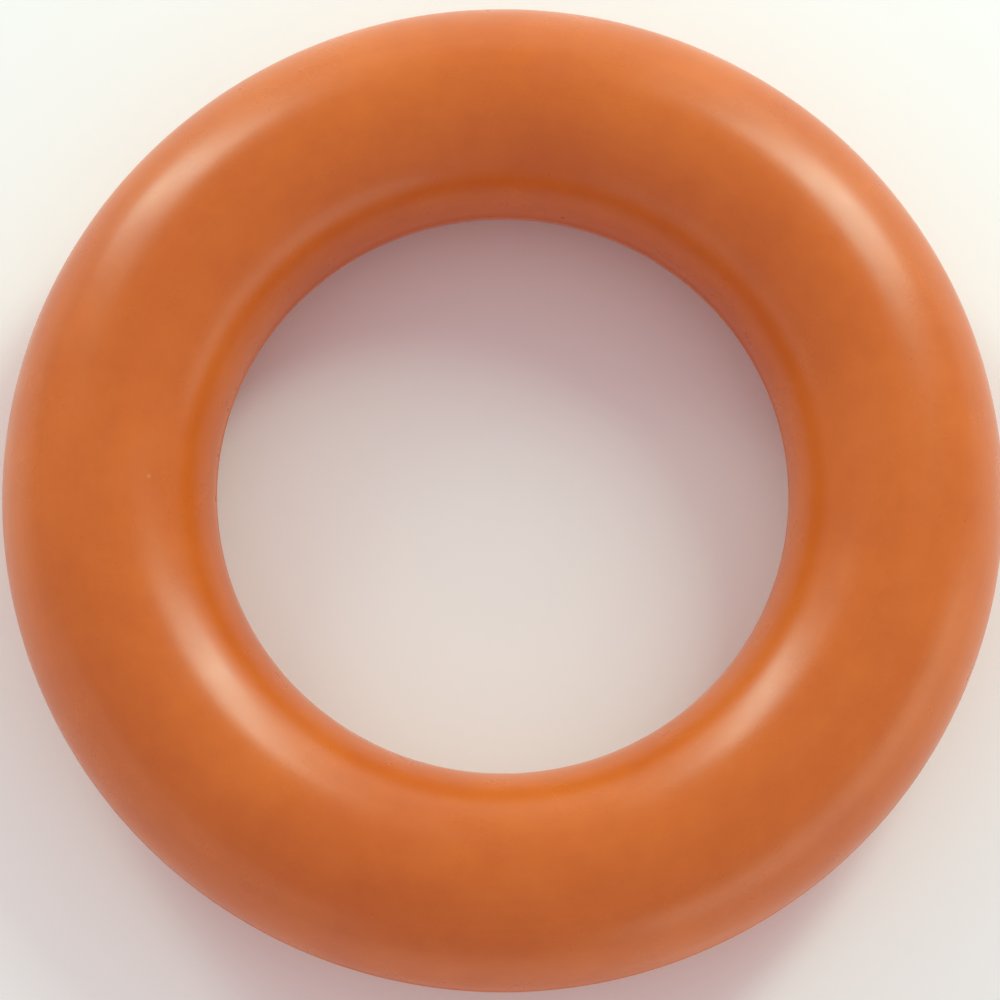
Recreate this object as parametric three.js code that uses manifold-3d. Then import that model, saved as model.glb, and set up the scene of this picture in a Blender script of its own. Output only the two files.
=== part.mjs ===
// An air-filled rubber throwing ring for lawn and deck games.
//
// The ring is a hollow rubber tube bent into a closed circle. It is moulded as two gutter-shaped
// halves, front and back. They lap over each other at the ring's outer and inner equators, and a
// line of cured rubber cement joins them there. The back half has a thick boss on the inside of its
// wall. A needle valve goes through it: a flanged rubber body cemented in from the inside, and a
// self-sealing core pressed into that body, through which the ring is inflated.
//
// Units are millimetres. The ring's axis is +Z, the origin is its centre, and the front half is
// the one above z = 0.

import * as THREE from "three";
import { mergeVertices } from "three/addons/utils/BufferGeometryUtils.js";
import Module from "manifold-3d";

// The whole ring
const RING_DIAMETER = 170; // outside
const TUBE_DIAMETER = 36.4; // outside
const WALL = 3.2;

// The lapped seams, one at the outer equator and one at the inner
const BOND = 0.3; // thickness of a line of cement
const TONGUE = 2.4; // how far the front half reaches down inside the back half

// The boss in the back half, and the dimple that keeps the valve's mouth off the ground
const VALVE_ANGLE = 0; // degrees round the ring from +X
const BOSS_DIAMETER = 18; // at its flat top
const BOSS_DRAFT = 8; // degrees
const BOSS_HEIGHT = 7.2; // flat top above the tube's lowest point
const DIMPLE_DIAMETER = 12;
const DIMPLE_DEPTH = 0.6;

// The valve body
const STEM_DIAMETER = 8.4;
const FLANGE_DIAMETER = 14.4;
const FLANGE_THICKNESS = 1.6;
const NECK_DIAMETER = 7.2; // at its inner end, where the stem has tapered
const BODY_LENGTH = 12.6;
const EDGE_RADIUS = 0.6; // on the flange's rim

// The valve core
const CORE_FIT = 0.1; // radial film of silicone oil between core and body
const CORE_DIAMETER = 4.4;
const HEAD_DIAMETER = 6;
const HEAD_THICKNESS = 1.4;
const BULB_DIAMETER = 5.8; // bigger than the body's bore, so it holds the core in
const FUNNEL_DIAMETER = 2.6; // guides the needle in
const FUNNEL_DEPTH = 1.2;
const NEEDLE_DIAMETER = 0.9;
const NEEDLE_DEPTH = 4; // beyond it the rubber is closed until a needle parts it

// Facets
const RING_FACETS = 64;
const TUBE_FACETS = 32;
const CAVITY_FACETS = 24;
const VALVE_FACETS = 24;
const CORNER_FACETS = 3;

const tubeRadius = TUBE_DIAMETER / 2;
const cavityRadius = tubeRadius - WALL;
const centreRadius = RING_DIAMETER / 2 - tubeRadius; // from the ring's axis to the tube's centre
const valvePlace = new THREE.Vector3(centreRadius, 0, DIMPLE_DEPTH - tubeRadius); // its mouth
valvePlace.applyAxisAngle(new THREE.Vector3(0, 0, 1), THREE.MathUtils.degToRad(VALVE_ANGLE));
const bossTop = BOSS_HEIGHT - DIMPLE_DEPTH; // above the valve's mouth
const flangeSeat = bossTop + BOND; // the same, with the cement on it

const rubber = new THREE.MeshStandardMaterial({ color: 0xcb6a33, roughness: 0.42, metalness: 0 });
const cement = new THREE.MeshStandardMaterial({ color: 0xb9592a, roughness: 0.6, metalness: 0 });
const valveRubber = new THREE.MeshStandardMaterial({ color: 0xd8c9a4, roughness: 0.55, metalness: 0 });
const coreRubber = new THREE.MeshStandardMaterial({ color: 0x26262a, roughness: 0.5, metalness: 0 });

const wasm = await Module();
wasm.setup();

const radians = THREE.MathUtils.degToRad;

// A closed ring of [radius, height] points, or an open one that starts and ends on the axis,
// turned about +Z.
function revolve(profile, facets) {
  const points = profile.map(([radius, height]) => new THREE.Vector2(radius, height));
  const onAxis = profile[0][0] === 0;
  const outline = onAxis ? points : [...points, points[0]];
  return new THREE.LatheGeometry(outline, facets).rotateX(Math.PI / 2);
}

// [radius, height] points round a circle, from one angle to another in degrees. The flat facets
// touch the true circle, and one facet lies square across each end.
function arcAround(centre, radius, from, to, facetsPerTurn) {
  const step = 360 / facetsPerTurn;
  const count = Math.round(Math.abs(to - from) / step);
  const corner = radius / Math.cos(radians(step / 2));
  return Array.from({ length: count }, (_, i) => {
    const angle = radians(from + Math.sign(to - from) * (i + 0.5) * step);
    return [centre + corner * Math.cos(angle), corner * Math.sin(angle)];
  });
}

// A quarter-round corner of a profile, from one angle to another in degrees.
function cornerAround([x, y], radius, from, to) {
  return Array.from({ length: CORNER_FACETS + 1 }, (_, i) => {
    const angle = radians(from + ((to - from) * i) / CORNER_FACETS);
    return [x + radius * Math.cos(angle), y + radius * Math.sin(angle)];
  });
}

function toSolid(geometry) {
  const bare = geometry.clone();
  bare.deleteAttribute("normal");
  bare.deleteAttribute("uv");
  const merged = mergeVertices(bare, 1e-4);
  return new wasm.Manifold(
    new wasm.Mesh({
      numProp: 3,
      vertProperties: merged.attributes.position.array,
      triVerts: new Uint32Array(merged.index.array),
    }),
  );
}

function toGeometry(solid) {
  const mesh = solid.getMesh();
  const geometry = new THREE.BufferGeometry();
  geometry.setAttribute("position", new THREE.BufferAttribute(mesh.vertProperties, mesh.numProp));
  geometry.setIndex(new THREE.BufferAttribute(mesh.triVerts, 1));
  geometry.computeVertexNormals();
  return geometry;
}

function part(name, geometry, material) {
  const mesh = new THREE.Mesh(geometry, material);
  mesh.name = name;
  return mesh;
}

// The two faces of a lap seam, as [depth into the wall from outside, height] points. The front
// half's tongue fills the inner side of the wall, and the back half's lip the outer side.
const lipWidth = (WALL - BOND) / 2;
const frontFace = [
  [0, BOND / 2],
  [lipWidth + BOND, BOND / 2],
  [lipWidth + BOND, -TONGUE],
  [WALL, -TONGUE],
];
const backFace = [
  [0, -BOND / 2],
  [lipWidth, -BOND / 2],
  [lipWidth, -TONGUE - BOND],
  [WALL, -TONGUE - BOND],
];

// A seam face placed at the outer equator (side 1) or at the inner one (side -1).
function atEquator(face, side) {
  return face.map(([depth, height]) => [centreRadius + side * (tubeRadius - depth), height]);
}

// Half of the hollow tube, over the top (side 1) or under the bottom (side -1). Its cavity starts
// and ends where the seam face meets it.
function halfTube(face, side) {
  const [, seamHeight] = face.at(-1);
  const cavity = arcAround(centreRadius, cavityRadius, 180 * side, 0, CAVITY_FACETS);
  const outline = [
    ...atEquator(face, 1).reverse(),
    ...arcAround(centreRadius, tubeRadius, 0, 180 * side, TUBE_FACETS),
    ...atEquator(face, -1),
    ...cavity.filter(([, height]) => (height - seamHeight) * side > 0),
  ];
  return revolve(side > 0 ? outline : outline.reverse(), RING_FACETS);
}

function seamBond(side) {
  const outline = [...atEquator(frontFace, side), ...atEquator(backFace, side).reverse()];
  return revolve(side > 0 ? outline : outline.reverse(), RING_FACETS);
}

// A solid turned about the valve's axis and put in its place in the back shell.
function solidAtValve(profile) {
  return toSolid(revolve(profile, VALVE_FACETS).translate(...valvePlace));
}

// The back half of the tube, with the boss inside it. The boss widens towards its foot, which ends
// halfway through the wall. The hole takes the valve's stem and cement, and the dimple is sunk
// round its mouth from below.
function backShell() {
  const wall = toSolid(halfTube(backFace, -1));
  const wallMiddle = arcAround(centreRadius, tubeRadius - WALL / 2, 0, 360, TUBE_FACETS);

  const footRadius = BOSS_DIAMETER / 2 + BOSS_HEIGHT * Math.tan(radians(BOSS_DRAFT));
  const boss = solidAtValve([
    [0, -DIMPLE_DEPTH],
    [footRadius, -DIMPLE_DEPTH],
    [BOSS_DIAMETER / 2, bossTop],
    [0, bossTop],
  ]).intersect(toSolid(revolve(wallMiddle, RING_FACETS)));

  const holeRadius = STEM_DIAMETER / 2 + BOND;
  const hole = solidAtValve([
    [0, -2 * DIMPLE_DEPTH],
    [DIMPLE_DIAMETER / 2 + DIMPLE_DEPTH, -2 * DIMPLE_DEPTH],
    [DIMPLE_DIAMETER / 2 - DIMPLE_DEPTH, 0],
    [holeRadius, 0],
    [holeRadius, bossTop + BOND],
    [0, bossTop + BOND],
  ]);
  return toGeometry(wall.add(boss).subtract(hole));
}

// The cement round the valve's stem and under its flange.
function valveBond() {
  const stem = STEM_DIAMETER / 2;
  return revolve(
    [
      [stem, 0],
      [stem + BOND, 0],
      [stem + BOND, bossTop],
      [FLANGE_DIAMETER / 2 - EDGE_RADIUS, bossTop],
      [FLANGE_DIAMETER / 2 - EDGE_RADIUS, flangeSeat],
      [stem, flangeSeat],
    ],
    VALVE_FACETS,
  );
}

function valveBody() {
  const bore = CORE_DIAMETER / 2 + CORE_FIT;
  const headSeat = HEAD_THICKNESS + CORE_FIT;
  const rim = FLANGE_DIAMETER / 2 - EDGE_RADIUS;
  const flangeTop = flangeSeat + FLANGE_THICKNESS;
  return revolve(
    [
      [HEAD_DIAMETER / 2 + CORE_FIT, 0],
      [STEM_DIAMETER / 2, 0],
      [STEM_DIAMETER / 2, flangeSeat],
      ...cornerAround([rim, flangeSeat + EDGE_RADIUS], EDGE_RADIUS, -90, 0),
      ...cornerAround([rim, flangeTop - EDGE_RADIUS], EDGE_RADIUS, 0, 90),
      [STEM_DIAMETER / 2, flangeTop],
      [NECK_DIAMETER / 2, BODY_LENGTH],
      [bore, BODY_LENGTH],
      [bore, headSeat],
      [HEAD_DIAMETER / 2 + CORE_FIT, headSeat],
    ],
    VALVE_FACETS,
  );
}

function valveCore() {
  const bulb = BULB_DIAMETER / 2;
  const bulbSeat = BODY_LENGTH + CORE_FIT;
  const dome = cornerAround([0, bulbSeat], bulb, 0, 90).slice(0, -1);
  return revolve(
    [
      [0, NEEDLE_DEPTH],
      [NEEDLE_DIAMETER / 2, NEEDLE_DEPTH - NEEDLE_DIAMETER / 2],
      [NEEDLE_DIAMETER / 2, FUNNEL_DEPTH],
      [FUNNEL_DIAMETER / 2, 0],
      [HEAD_DIAMETER / 2, 0],
      [HEAD_DIAMETER / 2, HEAD_THICKNESS],
      [CORE_DIAMETER / 2, HEAD_THICKNESS],
      [CORE_DIAMETER / 2, bulbSeat],
      ...dome,
      [0, bulbSeat + bulb],
    ],
    VALVE_FACETS,
  );
}

const ring = new THREE.Group();
ring.add(part("front_shell", halfTube(frontFace, 1), rubber));
ring.add(part("back_shell", backShell(), rubber));
ring.add(part("outer_seam_bond", seamBond(1), cement));
ring.add(part("inner_seam_bond", seamBond(-1), cement));

const valve = new THREE.Group();
valve.add(part("valve_bond", valveBond(), cement));
valve.add(part("valve_body", valveBody(), valveRubber));
valve.add(part("valve_core", valveCore(), coreRubber));
valve.position.copy(valvePlace);
ring.add(valve);

export default ring;
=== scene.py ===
"""An air-filled rubber throwing ring on a pale studio floor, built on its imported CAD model.

The ring lies on its back half with its axis along +Z, and the origin is its centre. Every piece
here is a smooth surface that stands for one of the faceted CAD solids and takes its size from it.
"""

import math

import bpy
import numpy as np
from mathutils import Matrix, Vector


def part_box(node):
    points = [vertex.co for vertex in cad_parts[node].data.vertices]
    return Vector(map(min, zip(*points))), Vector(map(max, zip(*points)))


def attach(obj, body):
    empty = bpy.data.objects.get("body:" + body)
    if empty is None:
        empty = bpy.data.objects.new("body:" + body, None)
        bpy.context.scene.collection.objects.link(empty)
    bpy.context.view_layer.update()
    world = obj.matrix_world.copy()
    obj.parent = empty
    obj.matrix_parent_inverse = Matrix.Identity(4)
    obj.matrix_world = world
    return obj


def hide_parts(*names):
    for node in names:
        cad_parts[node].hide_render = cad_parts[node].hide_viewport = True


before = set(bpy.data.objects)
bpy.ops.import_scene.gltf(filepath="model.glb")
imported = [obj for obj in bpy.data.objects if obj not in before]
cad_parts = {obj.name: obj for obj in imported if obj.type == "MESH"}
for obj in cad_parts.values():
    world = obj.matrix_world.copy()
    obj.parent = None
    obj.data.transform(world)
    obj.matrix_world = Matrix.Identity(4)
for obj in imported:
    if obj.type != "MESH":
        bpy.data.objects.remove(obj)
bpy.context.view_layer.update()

# ---------------------------------------------------------------------------------------------
# The front half. It is pressed from orange rubber between polished steel tools, and comes out as
# a gutter bent into a circle. All the way round its outer and inner equators its edge is a tongue
# that reaches down inside the back half.
# ---------------------------------------------------------------------------------------------

MM = 0.001
TURN_STEPS = 360  # round the ring
TUBE_STEP = math.radians(2)  # round the tube
EDGE_ROUNDING = 0.12 * MM  # where the skin meets the seam
UNEVENNESS = 0.06 * MM
CALM_HEIGHT = 5 * MM  # the unevenness fades out this close to a seam

low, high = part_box("front_shell")
tube_radius = high.z
centre_radius = high.x - tube_radius
tongue_end = low.z
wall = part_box("inner_seam_bond")[1].x - (centre_radius - tube_radius)
cavity_radius = tube_radius - wall
front_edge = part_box("outer_seam_bond")[1].z
back_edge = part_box("back_shell")[1].z
lap_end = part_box("outer_seam_bond")[0].z
bond = front_edge - back_edge
lip = (wall - bond) / 2


def tube_arc(radius, start, end):
    """Distances from the ring's axis and heights of points round the tube's section, one every
    tube step from one angle to another. The angle is zero at the outer equator."""
    angle = np.linspace(start, end, round(abs(end - start) / TUBE_STEP) + 1)
    return np.stack([centre_radius + radius * np.cos(angle), radius * np.sin(angle)], -1)


def seam_corners(side, depths_and_heights):
    """The same for points at some depths in the wall, at the outer equator, side 1, or the inner."""
    return np.array([[centre_radius + side * (tube_radius - d), z] for d, z in depths_and_heights])


def curved(before, corner, after, steps):
    """Rows of points on a quadratic curve that leaves one point and reaches another along the lines
    to the corner between them: the three weighted by (1-t)(1-t), 2t(1-t) and tt."""
    t = np.linspace(0, 1, steps + 1).reshape(-1, *[1] * np.ndim(corner))
    return (1 - t) ** 2 * before + 2 * t * (1 - t) * corner + t**2 * after


def skin_edge(side, height, up):
    """The small rounded edge from the skin into the seam's face at that height."""
    r = EDGE_ROUNDING
    return curved(*seam_corners(side, [(0, height + up * r), (0, height), (r, height)]), 4)


def front_section():
    """The closed outline of the front half's section, anticlockwise: over the skin, down the inner
    tongue, back round the cavity, and up the outer tongue."""
    skin = tube_arc(tube_radius, 0, math.pi)[1:-1]
    step = lip + bond
    tongue = [(step, front_edge), (step, tongue_end), (wall, tongue_end)]
    return np.concatenate(
        [
            skin,
            skin_edge(-1, front_edge, 1),
            seam_corners(-1, tongue),
            tube_arc(cavity_radius, math.pi, 0),
            seam_corners(1, tongue[::-1]),
            skin_edge(1, front_edge, 1)[::-1],
        ]
    )


def revolved(section, steps, centre=(0, 0)):
    """A grid of points, the section carried round a vertical line. A point of the section at a
    distance r and a height goes to r cos a and r sin a at that height."""
    turn = np.arange(steps) * 2 * math.pi / steps
    reach, height = np.asarray(section).T
    x = centre[0] + np.outer(np.cos(turn), reach)
    y = centre[1] + np.outer(np.sin(turn), reach)
    return np.stack([x, y, np.broadcast_to(height, x.shape)], -1)


def uneven(points):
    """Points with the skin sunk by up to the unevenness. The amount is a mean of five slow sine
    waves, each with the number of times it runs round the ring and round the tube, and a phase."""
    x, y, z = np.moveaxis(points, -1, 0)
    turn = np.arctan2(y, x)
    out = np.hypot(x, y) - centre_radius
    around = np.arctan2(z, out)
    waves = [(3, 1, 0.4), (5, -2, 2.1), (8, 3, 1.3), (13, 2, 5.2), (19, -5, 3.6)]
    wave = sum(np.sin(m * turn + n * around + phase) / len(waves) for m, n, phase in waves)
    fade = np.clip(np.abs(z) / CALM_HEIGHT, 0, 1)
    on_skin = np.hypot(out, z) > (tube_radius + cavity_radius) / 2
    sunk = UNEVENNESS * (1 + wave) / 2 * fade * fade * (3 - 2 * fade) * on_skin
    flat = np.cos(around)
    outward = np.stack([np.cos(turn) * flat, np.sin(turn) * flat, np.sin(around)], -1)
    return points - sunk[..., None] * outward


def closed_numbers(rows, columns):
    """The numbers of a grid's points, with the first column repeated after the last."""
    numbers = np.arange(rows * columns).reshape(rows, columns)
    return np.concatenate([numbers, numbers[:, :1]], 1)


def quads_between(numbers):
    """Four point numbers for each cell of a grid whose last row joins its first."""
    following = np.roll(numbers, -1, 0)
    cells = [numbers[:, :-1], following[:, :-1], following[:, 1:], numbers[:, 1:]]
    return np.stack(cells, -1).reshape(-1, 4)


def piece(name, points, faces, material, crisp=40):
    """A mesh object of the points that the faces use. It is shaded smooth, except at edges that
    turn by more than the crisp angle."""
    mesh = bpy.data.meshes.new(name)
    used, corners = np.unique(np.concatenate([f.ravel() for f in faces]), return_inverse=True)
    sizes = [f.shape for f in faces]
    ends = np.cumsum([rows * columns for rows, columns in sizes])[:-1]
    renumbered = [c.reshape(s).tolist() for c, s in zip(np.split(corners, ends), sizes)]
    mesh.from_pydata(points.reshape(-1, 3)[used].tolist(), [], sum(renumbered, []))
    mesh.polygons.foreach_set("use_smooth", np.ones(len(mesh.polygons), bool))
    mesh.set_sharp_from_angle(angle=math.radians(crisp))
    mesh.materials.append(material)
    mesh.update()
    obj = bpy.data.objects.new(name, mesh)
    bpy.context.scene.collection.objects.link(obj)
    return obj


def linear(colour):
    """An sRGB hex colour as linear red, green, blue and alpha."""
    channels = [int(colour[i : i + 2], 16) / 255 for i in (1, 3, 5)]
    return [c / 12.92 if c <= 0.04045 else ((c + 0.055) / 1.055) ** 2.4 for c in channels] + [1]


def per(millimetres):
    """A texture's scale for features of that size."""
    return 1 / (millimetres * MM)


def node(tree, kind, settings=None, links=None):
    """Adds a node, sets its properties and sockets by name or number, and links outputs to it."""
    made = tree.nodes.new(kind)
    for key, value in (settings or {}).items():
        if isinstance(key, str) and hasattr(made, key):
            setattr(made, key, value)
        else:
            made.inputs[key].default_value = value
    for key, output in (links or {}).items():
        tree.links.new(output, made.inputs[key])
    return made


def moulded_rubber():
    """Press-moulded pigmented rubber. The steel tool leaves a satin skin with a very fine grain. The
    pigment is not quite evenly mixed and was drawn out along the tube as the rubber flowed, a faint
    bloom dulls the skin in patches, and trapped air leaves a few small blisters."""
    material = bpy.data.materials.new("moulded_orange_rubber")
    material.use_nodes = True
    tree = material.node_tree
    shader = tree.nodes["Principled BSDF"]
    shader.inputs["IOR"].default_value = 1.52
    place = node(tree, "ShaderNodeTexCoord").outputs["Object"]

    # Pigment in patches about 30 mm across, with smaller ones inside them down to 0.3 mm
    mix = {"Scale": per(30), "Detail": 6.6, "Roughness": 0.7}
    patches = node(tree, "ShaderNodeTexNoise", mix, {"Vector": place})
    pigment = node(tree, "ShaderNodeValToRGB", links={"Fac": patches.outputs["Fac"]})
    ramp = pigment.color_ramp.elements
    ramp[0].position, ramp[0].color = 0.2, linear("#C25714")
    ramp[1].position, ramp[1].color = 0.8, linear("#D86F22")
    ramp.new(0.5).color = linear("#CD641A")

    # Flow lines along the tube, about 3 mm apart: the pattern changes with the distance from the
    # ring's axis and the height, and only slowly from place to place
    level = node(tree, "ShaderNodeVectorMath", {"operation": "MULTIPLY", 1: (1, 1, 0)}, {0: place})
    reach = node(tree, "ShaderNodeVectorMath", {"operation": "LENGTH"}, {0: level.outputs[0]})
    parts = node(tree, "ShaderNodeSeparateXYZ", links={0: place})
    section = node(
        tree, "ShaderNodeCombineXYZ", links={0: reach.outputs["Value"], 1: parts.outputs["Z"]}
    )
    drawn = node(
        tree,
        "ShaderNodeVectorMath",
        {"operation": "MULTIPLY_ADD", 1: (0.06, 0.06, 0.06)},
        {0: place, 2: section.outputs[0]},
    )
    fine = {"Scale": per(3), "Detail": 3.0, "Roughness": 0.6}
    flow = node(tree, "ShaderNodeTexNoise", fine, {"Vector": drawn.outputs[0]})
    streak = node(
        tree, "ShaderNodeMapRange", {1: 0.2, 2: 0.8, 3: 0.97, 4: 1.03}, {0: flow.outputs["Fac"]}
    )
    streaked = node(
        tree,
        "ShaderNodeVectorMath",
        {"operation": "SCALE"},
        {0: pigment.outputs["Color"], "Scale": streak.outputs[0]},
    )

    # Blisters 1 mm across, in about one 14 mm cell in four
    cells = node(tree, "ShaderNodeTexVoronoi", {"Scale": per(14)}, {"Vector": place})
    chance = node(tree, "ShaderNodeSeparateColor", links={0: cells.outputs["Color"]})
    chosen = node(tree, "ShaderNodeMath", {"operation": "GREATER_THAN", 1: 0.75}, {0: chance.outputs[0]})
    dome = node(
        tree,
        "ShaderNodeMapRange",
        {"interpolation_type": "SMOOTHSTEP", 1: 0.04, 2: 0.0, 3: 0.0, 4: 1.0},
        {0: cells.outputs["Distance"]},
    )
    blister = node(
        tree, "ShaderNodeMath", {"operation": "MULTIPLY"}, {0: chosen.outputs[0], 1: dome.outputs[0]}
    )
    pale = node(tree, "ShaderNodeMath", {"operation": "MULTIPLY", 1: 0.35}, {0: blister.outputs[0]})
    colour = node(
        tree,
        "ShaderNodeMix",
        {"data_type": "RGBA", 7: linear("#E0A070")},
        {0: pale.outputs[0], 6: streaked.outputs[0]},
    )
    tree.links.new(colour.outputs[2], shader.inputs["Base Color"])

    # The seams were buffed after cementing, in a band that reaches 1.5 mm past each equator
    from_seam = node(tree, "ShaderNodeMath", {"operation": "ABSOLUTE"}, {0: parts.outputs["Z"]})
    band = node(
        tree,
        "ShaderNodeMapRange",
        {"interpolation_type": "SMOOTHSTEP", 1: 1.9 * MM, 2: 1.1 * MM, 3: 0.0, 4: 1.0},
        {0: from_seam.outputs[0]},
    )

    # Bloom and handling change the gloss in patches about 12 mm across, and the band is duller
    cloudy = {"Scale": per(12), "Detail": 4.0, "Roughness": 0.6}
    bloom = node(tree, "ShaderNodeTexNoise", cloudy, {"Vector": place})
    gloss = node(tree, "ShaderNodeMapRange", {1: 0.2, 2: 0.8, 3: 0.24, 4: 0.34}, {0: bloom.outputs["Fac"]})
    dulled = node(
        tree,
        "ShaderNodeMath",
        {"operation": "MULTIPLY_ADD", 1: 0.16},
        {0: band.outputs[0], 2: gloss.outputs[0]},
    )
    tree.links.new(dulled.outputs[0], shader.inputs["Roughness"])

    # The tool's grain is about 0.1 mm, and is drawn at 0.6 mm so that it shows
    grain = node(tree, "ShaderNodeTexNoise", {"Scale": per(0.6), "Detail": 2.0}, {"Vector": place})
    skin = node(
        tree,
        "ShaderNodeBump",
        {"Strength": 0.5, "Distance": 0.02 * MM},
        {"Height": grain.outputs["Fac"]},
    )
    raised = node(
        tree,
        "ShaderNodeBump",
        {"Strength": 0.5, "Distance": 0.04 * MM},
        {"Height": blister.outputs[0], "Normal": skin.outputs[0]},
    )

    # Buffing left fine scratches along the band, about 0.3 mm apart
    scratches = node(tree, "ShaderNodeTexNoise", {"Scale": per(0.3)}, {"Vector": drawn.outputs[0]})
    worn = node(
        tree,
        "ShaderNodeMath",
        {"operation": "MULTIPLY"},
        {0: band.outputs[0], 1: scratches.outputs["Fac"]},
    )
    buffed = node(
        tree,
        "ShaderNodeBump",
        {"Strength": 0.5, "Distance": 0.03 * MM},
        {"Height": worn.outputs[0], "Normal": raised.outputs[0]},
    )
    tree.links.new(buffed.outputs[0], shader.inputs["Normal"])
    return material


ring_rubber = moulded_rubber()
section = front_section()
grid = revolved(section, TURN_STEPS)
faces = quads_between(closed_numbers(*grid.shape[:2]))
front_half = piece("front_half", uneven(grid), [faces], ring_rubber)
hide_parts("front_shell")
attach(front_half, "root")

# ---------------------------------------------------------------------------------------------
# The back half. It is a second moulding of the same rubber, with a lip that laps outside the
# tongue. Inside its wall stands a thick boss for the valve, and outside the skin dips to a small
# flat round the valve's mouth, which keeps the mouth off the ground.
# ---------------------------------------------------------------------------------------------

WINDOW_TURN = 14  # steps round the ring, each way from the valve, that the boss's own surface fills
WINDOW_TUBE = 28  # the same, round the tube
RAYS_RADIUS = 7.5 * MM  # the skin's points lie on rays from the valve's axis as far out as this
SPREAD_ROWS = 7  # between those rays and the window's edge
DIMPLE_ROWS = 24
TOP_ROWS = 5
DIMPLE_RADIUS = 5.6 * MM
DIMPLE_EDGE = 0.3 * MM
HOLE_RADIUS = 4.5 * MM
BOSS_RADIUS = 9 * MM
BOSS_DRAFT = math.radians(8)
BOSS_EDGE = 0.6 * MM
BOSS_FOOT = 1.2 * MM
CLEAR_OF_LAP = 0.1 * MM  # the cavity's points come no closer to the end of the lap than this

low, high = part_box("valve_bond")
valve_centre = np.array([low.x + high.x, low.y + high.y]) / 2
mouth = low.z
boss_top = high.z - bond


def back_section():
    """The closed outline of the back half's section, anticlockwise: under the skin, down the outer
    lip, back round the cavity, and up the inner lip."""
    skin = tube_arc(tube_radius, math.pi, 2 * math.pi)[1:-1]
    hollow = tube_arc(cavity_radius, 2 * math.pi, math.pi)
    lap = [(lip, back_edge), (lip, lap_end), (wall, lap_end)]
    return np.concatenate(
        [
            skin,
            skin_edge(1, back_edge, -1),
            seam_corners(1, lap),
            hollow[hollow[:, 1] < lap_end - CLEAR_OF_LAP],
            seam_corners(-1, lap[::-1]),
            skin_edge(-1, back_edge, -1)[::-1],
        ]
    )


def window_edge(numbers, columns):
    """The numbers of the points on the window's edge, clockwise as seen from above, where columns
    lead from the ring's inner side to its outer side."""
    turns = np.arange(-WINDOW_TURN, WINDOW_TURN + 1)
    return np.concatenate(
        [
            numbers[turns[:-1], columns[0]],
            numbers[turns[-1], columns[:-1]],
            numbers[turns[:0:-1], columns[-1]],
            numbers[turns[0], columns[:0:-1]],
        ]
    )


def larger(a, b, blend):
    """The larger of two amounts, rounded where they cross: half of their sum and of the root of
    their difference squared and the blend squared."""
    return (a + b + np.sqrt((a - b) ** 2 + blend**2)) / 2


def under_tube(radius, plan):
    """The height of the tube's underside over points of the plan."""
    return -np.sqrt(radius**2 - (np.hypot(plan[..., 0], plan[..., 1]) - centre_radius) ** 2)


def boss_surface(skin_rim, cavity_rim):
    """Rows of points from the window's edge in the skin to its edge in the cavity. They cross the
    dimple to the hole, go up it, out over the boss, and down its tapered side. All of them lie on
    rays from the valve's axis, but the first and last few spread out to meet the two edges."""
    ray = skin_rim[:, :2] - valve_centre
    ray /= np.linalg.norm(ray, axis=1, keepdims=True)

    def raised(plan, height):
        return np.concatenate([plan, np.broadcast_to(height, plan.shape[:-1])[..., None]], -1)

    def skin_under(plan):
        beyond = np.linalg.norm(plan - valve_centre, axis=-1) - DIMPLE_RADIUS
        dimple = mouth - larger(beyond, 0, DIMPLE_EDGE)
        return larger(under_tube(tube_radius, plan), dimple, DIMPLE_EDGE)

    spread = np.linspace(0, 1, SPREAD_ROWS + 2)[1:-1, None, None]
    approach = (1 - spread) * skin_rim[:, :2] + spread * (valve_centre + RAYS_RADIUS * ray)
    reach = np.linspace(RAYS_RADIUS, HOLE_RADIUS, DIMPLE_ROWS)[:, None, None]
    plan = np.concatenate([approach, valve_centre + reach * ray])
    rows = [raised(plan, skin_under(plan))]

    reach = np.linspace(HOLE_RADIUS, BOSS_RADIUS - BOSS_EDGE, TOP_ROWS)[:, None, None]
    top = raised(valve_centre + reach * ray, boss_top)
    rows.append(top)

    # The side runs down and out to its foot, which is found by stepping towards the cavity's wall
    foot = np.full(len(ray), BOSS_RADIUS)
    for _ in range(6):
        floor = under_tube(cavity_radius, valve_centre + foot[:, None] * ray)
        foot = BOSS_RADIUS + (boss_top - floor) * math.tan(BOSS_DRAFT)

    slant = math.tan(BOSS_DRAFT)
    corner = raised(valve_centre + BOSS_RADIUS * ray, boss_top)
    below = raised(valve_centre + (BOSS_RADIUS + BOSS_EDGE * slant) * ray, boss_top - BOSS_EDGE)
    rows.append(curved(top[-1], corner, below, 4)[1:])
    low_side = raised(valve_centre + (foot - BOSS_FOOT * slant)[:, None] * ray, floor + BOSS_FOOT)
    foot_corner = raised(valve_centre + foot[:, None] * ray, floor)
    plan = valve_centre + (foot + BOSS_FOOT)[:, None] * ray
    past = raised(plan, under_tube(cavity_radius, plan))
    rows.append(curved(low_side, foot_corner, past, 5))
    plan = (1 - spread) * past[:, :2] + spread * cavity_rim[:, :2]
    rows.append(raised(plan, under_tube(cavity_radius, plan)))
    return np.concatenate(rows)


section = back_section()
grid = revolved(section, TURN_STEPS)
numbers = closed_numbers(*grid.shape[:2])

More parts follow.
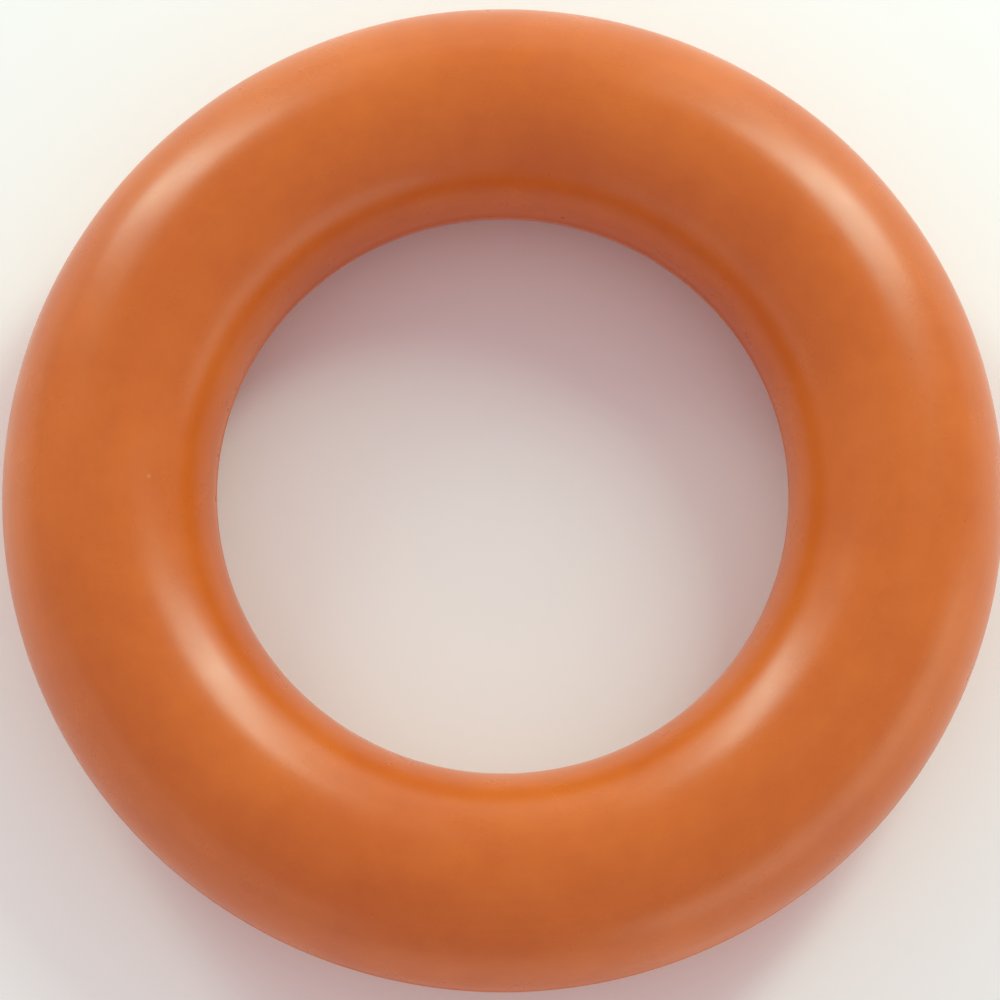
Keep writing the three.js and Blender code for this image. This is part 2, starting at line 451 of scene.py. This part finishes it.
# The window is centred on the section's lowest points, and the grid's cells in it are left out
bottom = np.abs(section - [centre_radius, -tube_radius]).sum(1).argmin()
hollow_bottom = np.abs(section - [centre_radius, -cavity_radius]).sum(1).argmin()
tube_steps = np.arange(-WINDOW_TUBE, WINDOW_TUBE + 1)
skin_rim = window_edge(numbers, bottom + tube_steps)
cavity_rim = window_edge(numbers, hollow_bottom - tube_steps)
whole = np.ones((TURN_STEPS, grid.shape[1]), bool)
turns = np.arange(-WINDOW_TURN, WINDOW_TURN)
whole[np.ix_(turns, bottom + tube_steps[:-1])] = False
whole[np.ix_(turns, hollow_bottom + tube_steps[:-1])] = False

points = grid.reshape(-1, 3)
boss = boss_surface(points[skin_rim], points[cavity_rim])
boss_numbers = len(points) + np.arange(boss.shape[0] * boss.shape[1]).reshape(boss.shape[:2])
boss_numbers = np.vstack([skin_rim, boss_numbers, cavity_rim]).T
faces = np.concatenate([quads_between(numbers)[whole.ravel()], quads_between(boss_numbers)])
points = uneven(np.concatenate([points, boss.reshape(-1, 3)]))
back_half = piece("back_half", points, [faces], ring_rubber)
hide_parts("back_shell")
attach(back_half, "root")

# ---------------------------------------------------------------------------------------------
# The two seam bonds. Each is a line of self-curing rubber cement that fills the lap between the
# halves. What squeezed out was cut off and buffed nearly flush, so only a hairline shows.
# ---------------------------------------------------------------------------------------------

CEMENT_SUNK = 0.04 * MM  # below the skin, where it meets the halves
CEMENT_HOLLOW = 1.6 * CEMENT_SUNK  # the same, at its middle
CEMENT_SPREAD = EDGE_ROUNDING / 8  # past the edge of each half, onto its rounding


def seam_section(side):
    """The closed outline of a bond's section: out along the front half's face, from the skin to the
    cavity, and back along the back half's. Its skin end is a shallow hollow."""
    corners = [
        (CEMENT_SUNK, back_edge - CEMENT_SPREAD),
        (CEMENT_HOLLOW, (back_edge + front_edge) / 2),
        (CEMENT_SUNK, front_edge + CEMENT_SPREAD),
        (EDGE_ROUNDING, front_edge),
        (lip + bond, front_edge),
        (lip + bond, tongue_end),
        (wall, tongue_end),
        (wall, lap_end),
        (lip, lap_end),
        (lip, back_edge),
        (EDGE_ROUNDING, back_edge),
    ]
    return seam_corners(side, corners)[::side]


def cured_cement():
    """Self-curing rubber cement, the ring's own colour but a little deeper. Buffing leaves it duller
    than the moulded skin, with fine lines along it."""
    material = bpy.data.materials.new("buffed_rubber_cement")
    material.use_nodes = True
    tree = material.node_tree
    shader = tree.nodes["Principled BSDF"]
    shader.inputs["IOR"].default_value = 1.52
    place = node(tree, "ShaderNodeTexCoord").outputs["Object"]
    patches = node(tree, "ShaderNodeTexNoise", {"Scale": per(6), "Detail": 3.0}, {"Vector": place})
    tone = node(tree, "ShaderNodeValToRGB", links={"Fac": patches.outputs["Fac"]})
    ramp = tone.color_ramp.elements
    ramp[0].position, ramp[0].color = 0.35, linear("#C45C1A")
    ramp[1].position, ramp[1].color = 0.65, linear("#CC631D")
    tree.links.new(tone.outputs["Color"], shader.inputs["Base Color"])
    gloss = node(tree, "ShaderNodeMapRange", {3: 0.42, 4: 0.55}, {0: patches.outputs["Fac"]})
    tree.links.new(gloss.outputs[0], shader.inputs["Roughness"])
    flat = node(tree, "ShaderNodeMapping", {"Scale": (0.02, 0.02, 1)}, {"Vector": place})
    lines = node(tree, "ShaderNodeTexNoise", {"Scale": per(0.15)}, {"Vector": flat.outputs[0]})
    buffed = node(
        tree, "ShaderNodeBump", {"Strength": 0.4, "Distance": 0.02 * MM}, {"Height": lines.outputs["Fac"]}
    )
    tree.links.new(buffed.outputs[0], shader.inputs["Normal"])
    return material


cement = cured_cement()
for name, side in (("outer_seam_bond", 1), ("inner_seam_bond", -1)):
    grid = revolved(seam_section(side), TURN_STEPS)
    faces = quads_between(closed_numbers(*grid.shape[:2]))
    seam = piece(name.replace("bond", "cement"), grid, [faces], cement)
    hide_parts(name)
    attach(seam, "root")

# ---------------------------------------------------------------------------------------------
# The valve body. It is moulded from undyed gum rubber, with a stem that goes through the boss and
# a flange that is cemented to the boss's flat top from inside. The same cement as in the seams
# lines the hole and lies under the flange.
# ---------------------------------------------------------------------------------------------

VALVE_STEPS = 96  # round the valve
STEM_RADIUS = 4.2
FLANGE_RADIUS = 7.2
FLANGE_THICKNESS = 1.6
FLANGE_EDGE = 0.6
NECK_RADIUS = 3.6
BORE_RADIUS = 2.3
HEAD_BORE_RADIUS = 3.1
HEAD_BORE_DEPTH = 1.5
CEMENT_RECESS = 0.05  # above the valve's mouth
CEMENT_ROUNDING = 0.04

body_length = (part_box("valve_body")[1].z - mouth) / MM
flange_seat = (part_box("valve_bond")[1].z - mouth) / MM
boss_height = (boss_top - mouth) / MM
hole = HOLE_RADIUS / MM


def softened(corners, radius, steps=4):
    """A line of points through the inner corners of an outline, each rounded by a curve that starts
    and ends a radius from it, or nearly half-way along where the next corner is close."""
    corners = np.asarray(corners, float)
    before, corner, after = corners[:-2], corners[1:-1], corners[2:]

    def toward(other):
        share = np.minimum(radius / np.linalg.norm(other - corner, axis=1), 0.45)
        return corner + share[:, None] * (other - corner)

    return curved(toward(before), corner, toward(after), steps).swapaxes(0, 1).reshape(-1, 2)


def at_valve(section):
    """A closed outline in millimetres above the valve's mouth, carried round the valve's axis."""
    return revolved(np.asarray(section) * MM + [0, mouth], VALVE_STEPS, valve_centre)


bond_corners = [
    (STEM_RADIUS, CEMENT_RECESS),
    (hole, CEMENT_RECESS),
    (hole, boss_height),
    (FLANGE_RADIUS - FLANGE_EDGE, boss_height),
    (FLANGE_RADIUS - FLANGE_EDGE, flange_seat),
    (STEM_RADIUS, flange_seat),
]
grid = at_valve(softened(bond_corners[-1:] + bond_corners + bond_corners[:1], CEMENT_ROUNDING))
faces = quads_between(closed_numbers(*grid.shape[:2]))
valve_cement = piece("valve_cement", grid, [faces], cement)
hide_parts("valve_bond")
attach(valve_cement, "root")


def gum_rubber():
    """Undyed gum rubber, moulded. It is a milky tan with a satin skin, lets a little light in, and
    has darker flecks of bark in it."""
    material = bpy.data.materials.new("moulded_gum_rubber")
    material.use_nodes = True
    tree = material.node_tree
    shader = tree.nodes["Principled BSDF"]
    shader.inputs["IOR"].default_value = 1.52
    shader.inputs["Subsurface Weight"].default_value = 0.15
    shader.inputs["Subsurface Radius"].default_value = (1, 0.6, 0.3)
    shader.inputs["Subsurface Scale"].default_value = 1 * MM
    place = node(tree, "ShaderNodeTexCoord").outputs["Object"]
    milky = node(tree, "ShaderNodeTexNoise", {"Scale": per(2.5), "Detail": 4.0}, {"Vector": place})
    tone = node(tree, "ShaderNodeValToRGB", links={"Fac": milky.outputs["Fac"]})
    ramp = tone.color_ramp.elements
    ramp[0].position, ramp[0].color = 0.35, linear("#C9B788")
    ramp[1].position, ramp[1].color = 0.65, linear("#DDCFA9")
    specks = node(tree, "ShaderNodeTexVoronoi", {"Scale": per(0.8)}, {"Vector": place})
    fleck = node(tree, "ShaderNodeMapRange", {1: 0.12, 2: 0.05, 3: 0.0, 4: 0.5}, {0: specks.outputs[0]})
    colour = node(
        tree,
        "ShaderNodeMix",
        {"data_type": "RGBA", 7: linear("#8A6B3F")},
        {0: fleck.outputs[0], 6: tone.outputs["Color"]},
    )
    tree.links.new(colour.outputs[2], shader.inputs["Base Color"])
    gloss = node(tree, "ShaderNodeMapRange", {3: 0.38, 4: 0.5}, {0: milky.outputs["Fac"]})
    tree.links.new(gloss.outputs[0], shader.inputs["Roughness"])
    grain = node(tree, "ShaderNodeTexNoise", {"Scale": per(0.2)}, {"Vector": place})
    skin = node(
        tree, "ShaderNodeBump", {"Strength": 0.3, "Distance": 0.02 * MM}, {"Height": grain.outputs["Fac"]}
    )
    tree.links.new(skin.outputs[0], shader.inputs["Normal"])
    return material


body_corners = [
    (HEAD_BORE_RADIUS, 0),
    (STEM_RADIUS, 0),
    (STEM_RADIUS, flange_seat),
    (FLANGE_RADIUS, flange_seat),
    (FLANGE_RADIUS, flange_seat + FLANGE_THICKNESS),
    (STEM_RADIUS, flange_seat + FLANGE_THICKNESS),
    (NECK_RADIUS, body_length),
    (BORE_RADIUS, body_length),
    (BORE_RADIUS, HEAD_BORE_DEPTH),
    (HEAD_BORE_RADIUS, HEAD_BORE_DEPTH),
]
body_rounding = np.array([0.2, 0.15, 0.05, 0.6, 0.6, 0.6, 0.4, 0.3, 0.2, 0.1])
grid = at_valve(softened(body_corners[-1:] + body_corners + body_corners[:1], body_rounding))
faces = quads_between(closed_numbers(*grid.shape[:2]))
body = piece("valve_stem_and_flange", grid, [faces], gum_rubber())
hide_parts("valve_body")
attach(body, "root")

# ---------------------------------------------------------------------------------------------
# The valve core. It is a plug of soft black rubber, wetted with silicone oil and pushed through
# the body until its bulb opens out behind. A needle follows the funnel and the short hole, parts
# the rubber beyond it, and leaves it closed again.
# ---------------------------------------------------------------------------------------------

CORE_RADIUS = 2.2
HEAD_RADIUS = 3.0
HEAD_THICKNESS = 1.4
BULB_RADIUS = 2.9
FUNNEL_RADIUS = 1.3
FUNNEL_DEPTH = 1.2
NEEDLE_RADIUS = 0.45
NEEDLE_DEPTH = 4.0

core_length = (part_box("valve_core")[1].z - mouth) / MM
bulb_seat = core_length - BULB_RADIUS


def black_rubber():
    """Soft carbon-black rubber, wiped with silicone oil, so its satin skin has a wet sheen in
    places and a little dust sticks to it."""
    material = bpy.data.materials.new("oiled_black_rubber")
    material.use_nodes = True
    tree = material.node_tree
    shader = tree.nodes["Principled BSDF"]
    shader.inputs["IOR"].default_value = 1.52
    place = node(tree, "ShaderNodeTexCoord").outputs["Object"]
    film = node(tree, "ShaderNodeTexNoise", {"Scale": per(1.2), "Detail": 3.0}, {"Vector": place})
    tone = node(tree, "ShaderNodeValToRGB", links={"Fac": film.outputs["Fac"]})
    ramp = tone.color_ramp.elements
    ramp[0].position, ramp[0].color = 0.4, linear("#202022")
    ramp[1].position, ramp[1].color = 0.7, linear("#2E2D2D")
    tree.links.new(tone.outputs["Color"], shader.inputs["Base Color"])
    gloss = node(tree, "ShaderNodeMapRange", {1: 0.4, 2: 0.6, 3: 0.22, 4: 0.48}, {0: film.outputs["Fac"]})
    tree.links.new(gloss.outputs[0], shader.inputs["Roughness"])
    grain = node(tree, "ShaderNodeTexNoise", {"Scale": per(0.15)}, {"Vector": place})
    skin = node(
        tree, "ShaderNodeBump", {"Strength": 0.3, "Distance": 0.02 * MM}, {"Height": grain.outputs["Fac"]}
    )
    tree.links.new(skin.outputs[0], shader.inputs["Normal"])
    return material


dome = np.linspace(0, math.pi / 2, 10)
core_corners = [
    (0, NEEDLE_DEPTH),
    (NEEDLE_RADIUS, NEEDLE_DEPTH - NEEDLE_RADIUS),
    (NEEDLE_RADIUS, FUNNEL_DEPTH),
    (FUNNEL_RADIUS, 0),
    (HEAD_RADIUS, 0),
    (HEAD_RADIUS, HEAD_THICKNESS),
    (CORE_RADIUS, HEAD_THICKNESS),
    (CORE_RADIUS, bulb_seat),
    *np.stack([BULB_RADIUS * np.cos(dome), bulb_seat + BULB_RADIUS * np.sin(dome)], -1),
]
core_rounding = np.array([0.15, 0.3, 0.3, 0.35, 0.2, 0.1, 0.1, *np.full(9, 0.3)])
grid = at_valve(softened(core_corners, core_rounding))
numbers = np.arange(grid.shape[0] * grid.shape[1]).reshape(grid.shape[:2])
tips = np.array([[*valve_centre, mouth + z * MM] for z in (NEEDLE_DEPTH, core_length)])
points = np.concatenate([grid.reshape(-1, 3), tips])


def fan(edge, tip):
    """Triangles from a closed row of points to the one at its middle."""
    return np.stack([edge, np.roll(edge, -1), np.full(len(edge), tip)], -1)


first_tip, last_tip = len(points) - 2, len(points) - 1
fans = np.concatenate([fan(numbers[::-1, 0], first_tip), fan(numbers[:, -1], last_tip)])
core = piece("valve_core_plug", points, [quads_between(numbers), fans], black_rubber())
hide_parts("valve_core")
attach(core, "root")

# ---------------------------------------------------------------------------------------------
# The studio. The ring lies on a wide sheet of matt white card. Two tall softboxes stand behind it
# to the left and right, leaning together, with pale walls behind them and pale fills in front of
# the ring on both sides. The rest is soft light from a pale room.
# ---------------------------------------------------------------------------------------------

CARD_SIZE = 8
LAMP_DISTANCE = 1.5

spread = CARD_SIZE / 2 * np.array([[-1, -1], [1, -1], [1, 1], [-1, 1]])
sheet = bpy.data.meshes.new("card")
sheet.from_pydata([(x, y, -tube_radius) for x, y in spread], [], [(0, 1, 2, 3)])
card = bpy.data.objects.new("card", sheet)
bpy.context.scene.collection.objects.link(card)
matt = bpy.data.materials.new("matt_white_card")
matt.use_nodes = True
shader = matt.node_tree.nodes["Principled BSDF"]
shader.inputs["Base Color"].default_value = linear("#FCFCFC")
shader.inputs["Roughness"].default_value = 0.9
shader.inputs["Specular IOR Level"].default_value = 0.2
sheet.materials.append(matt)


def softbox(name, colour, radiance, turn, rise, wide, tall, lean=0):
    """An area lamp that faces the ring. Its direction is a turn from the far side towards the right
    and a rise from the floor. It covers two angles as seen from the ring, and its top leans to the
    right. All are in degrees."""
    lamp = bpy.data.lights.new(name, "AREA")
    lamp.color = linear(colour)[:3]
    lamp.shape = "RECTANGLE"
    lamp.size = 2 * LAMP_DISTANCE * math.tan(math.radians(wide / 2))
    lamp.size_y = 2 * LAMP_DISTANCE * math.tan(math.radians(tall / 2))
    lamp.energy = 4 * radiance * lamp.size * lamp.size_y
    turn, rise = math.radians(turn), math.radians(rise)
    toward = Vector((math.sin(turn) * math.cos(rise), math.cos(turn) * math.cos(rise), math.sin(rise)))
    across = Vector((-math.cos(turn), math.sin(turn), 0))
    placed = Matrix((across, toward.cross(across), toward)).transposed().to_4x4()
    placed.translation = toward * LAMP_DISTANCE
    obj = bpy.data.objects.new(name, lamp)
    bpy.context.scene.collection.objects.link(obj)
    obj.matrix_world = placed @ Matrix.Rotation(math.radians(lean), 4, "Z")


# The softboxes and the walls they light are a little green, and the room's own light a little pink
TUBE_LIGHT = "#DCFFED"
FILL_LIGHT = "#E4FFED"
ROOM_LIGHT = "#FFEDF2"
softbox("left_softbox", TUBE_LIGHT, 6.2, turn=-38, rise=23, wide=10, tall=34, lean=19)
softbox("right_softbox", TUBE_LIGHT, 9.5, turn=40, rise=33, wide=10, tall=34, lean=-15)
softbox("left_wall", TUBE_LIGHT, 0.9, turn=-36, rise=24, wide=26, tall=46)
softbox("right_wall", TUBE_LIGHT, 1.0, turn=39, rise=24, wide=30, tall=46)
softbox("back_wall", "#FFFBE4", 0.55, turn=4, rise=15, wide=50, tall=24)
softbox("right_fill", FILL_LIGHT, 0.95, turn=126, rise=10, wide=70, tall=22)
softbox("left_fill", FILL_LIGHT, 0.35, turn=-128, rise=11, wide=64, tall=22)

room = bpy.data.worlds.new("pale_room")
room.use_nodes = True
background = room.node_tree.nodes["Background"]
background.inputs["Color"].default_value = linear(ROOM_LIGHT)
background.inputs["Strength"].default_value = 0.6
bpy.context.scene.world = room

# ---------------------------------------------------------------------------------------------
# The camera. It looks down at the ring from high up and a little in front, through a long lens,
# and is aimed slightly left of and below the ring's centre.
# ---------------------------------------------------------------------------------------------

CAMERA_RISE = math.radians(77.85)
CAMERA_DISTANCE = 0.7463
CAMERA_LENS = 158
AIMED_LEFT = 0.47 * MM
AIMED_BELOW = 1.45 * MM

rightward = Vector((1, 0, 0))
upward = Vector((0, math.sin(CAMERA_RISE), math.cos(CAMERA_RISE)))
backward = Vector((0, -math.cos(CAMERA_RISE), math.sin(CAMERA_RISE)))
camera = bpy.data.objects.new("camera", bpy.data.cameras.new("camera"))
camera.data.lens = CAMERA_LENS
bpy.context.scene.collection.objects.link(camera)
stance = Matrix((rightward, upward, backward)).transposed().to_4x4()
stance.translation = backward * CAMERA_DISTANCE - rightward * AIMED_LEFT - upward * AIMED_BELOW
camera.matrix_world = stance
bpy.context.scene.camera = camera
bpy.context.scene.view_settings.view_transform = "Standard"
